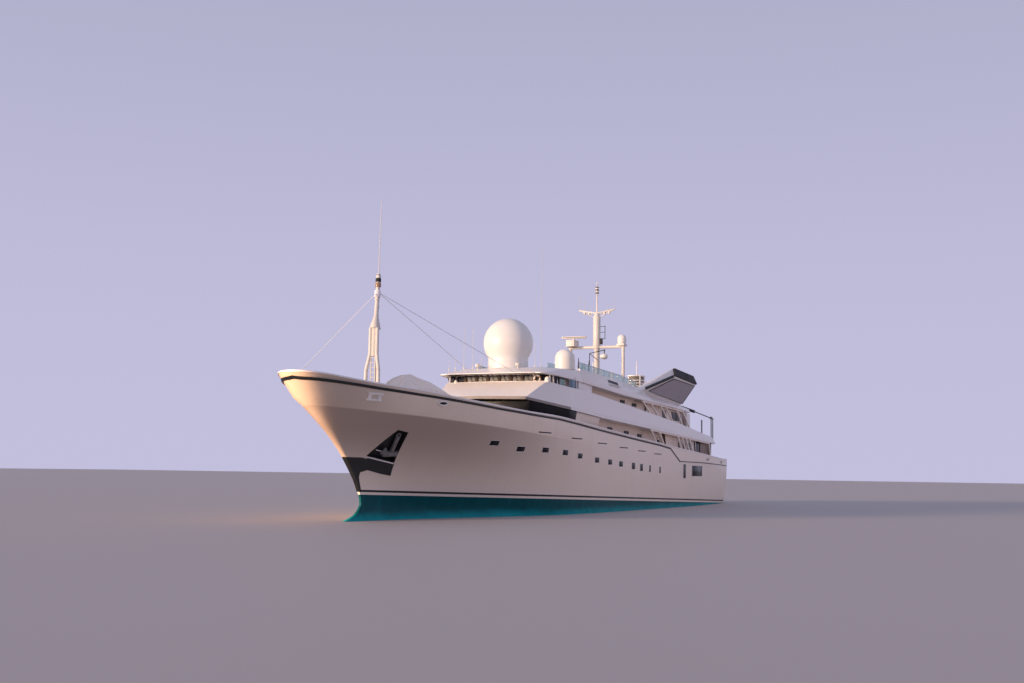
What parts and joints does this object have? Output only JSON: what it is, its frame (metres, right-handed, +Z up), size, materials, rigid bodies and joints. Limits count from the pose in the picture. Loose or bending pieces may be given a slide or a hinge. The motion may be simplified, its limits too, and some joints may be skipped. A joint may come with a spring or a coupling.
{
  "type": "motor yacht scale model",
  "caption": "Large white motor yacht at 1:10 with a flared bow, raked bridge bulwark, domed roof, V-set funnels, radar mast, screws and rudders.",
  "frame": {"origin": "on the waterline, on the centreline, halfway between stem and transom", "axes": "+X to the bow, +Y to port, +Z up"},
  "size_m": [8.74, 1.32, 2.82],
  "materials": {
    "white_paint": "gloss marine paint",
    "teak": "oiled planking",
    "teal_glass": "tinted",
    "dark_glass": "black tinted glazing",
    "teal_bottom": "antifouling paint",
    "black_paint": "satin paint",
    "bronze": "cast and polished",
    "steel": "satin",
    "tarpaulin": "woven cover cloth",
    "dome_shell": "white gel coat"
  },
  "bodies": {
    "ship": {"hull": "white_paint", "bulwark_port": "white_paint", "bulwark_starboard": "white_paint", "main_house": "white_paint", "bridge_deck": "teak", "bridge_bulwark": "white_paint", "bridge_house": "white_paint", "wheelhouse": "white_paint", "wheelhouse_roof": "white_paint", "sun_deck": "white_paint", "wing_wall_port": "white_paint", "wing_wall_starboard": "white_paint", "windscreen_port": "teal_glass", "windscreen_starboard": "teal_glass", "funnel_port": "white_paint", "funnel_starboard": "white_paint", "louvred_casing_port": "white_paint", "louvred_casing_starboard": "white_paint", "dome_large": "dome_shell", "dome_small": "dome_shell", "dome_portal": "dome_shell", "radar_mast": "white_paint", "foremast": "white_paint", "foremast_stays": "steel", "windlass": "steel", "boat_under_tarpaulin": "tarpaulin", "anchor_port": "steel", "anchor_starboard": "steel", "shaft_port": "steel", "shaft_starboard": "steel", "shaft_bracket_port": "white_paint", "shaft_bracket_starboard": "white_paint", "bathing_platform": "teak", "main_pillars_port": "white_paint", "main_pillars_starboard": "white_paint", "bridge_pillars_port": "white_paint", "bridge_pillars_starboard": "white_paint", "stern_rail": "steel"},
    "propeller_port": {"propeller_port": "bronze"},
    "propeller_starboard": {"propeller_starboard": "bronze"},
    "rudder_port": {"rudder_port": "white_paint"},
    "rudder_starboard": {"rudder_starboard": "white_paint"},
    "radar_scanner": {"radar_scanner": "white_paint"},
    "wheelhouse_door_port": {"wheelhouse_door_port": "white_paint"},
    "wheelhouse_door_starboard": {"wheelhouse_door_starboard": "white_paint"}
  },
  "joints": [
    {"name": "propeller_port_spin", "type": "hinge", "parent": "ship", "child": "propeller_port", "pos_m": [-3.32, 0.27, -0.315], "axis": [1, 0, 0], "continuous": true},
    {"name": "propeller_starboard_spin", "type": "hinge", "parent": "ship", "child": "propeller_starboard", "pos_m": [-3.32, -0.27, -0.315], "axis": [1, 0, 0], "continuous": true},
    {"name": "rudder_port_turn", "type": "hinge", "parent": "ship", "child": "rudder_port", "pos_m": [-3.66, 0.27, -0.3], "axis": [0, 0, 1], "range_deg": [-35, 35]},
    {"name": "rudder_starboard_turn", "type": "hinge", "parent": "ship", "child": "rudder_starboard", "pos_m": [-3.66, -0.27, -0.3], "axis": [0, 0, 1], "range_deg": [-35, 35]},
    {"name": "radar_scanner_spin", "type": "hinge", "parent": "ship", "child": "radar_scanner", "pos_m": [-1.085, -0.255, 1.75], "axis": [0, 0, 1], "continuous": true},
    {"name": "wheelhouse_door_port_swing", "type": "hinge", "parent": "ship", "child": "wheelhouse_door_port", "pos_m": [0.9596, 0.45, 1], "axis": [0, 0, -1], "range_deg": [0, 100]},
    {"name": "wheelhouse_door_starboard_swing", "type": "hinge", "parent": "ship", "child": "wheelhouse_door_starboard", "pos_m": [0.9596, -0.45, 1], "axis": [0, 0, 1], "range_deg": [0, 100]}
  ],
  "couplings": [
    {"joint": "rudder_starboard_turn", "follows": "rudder_port_turn", "ratio": 1}
  ]
}
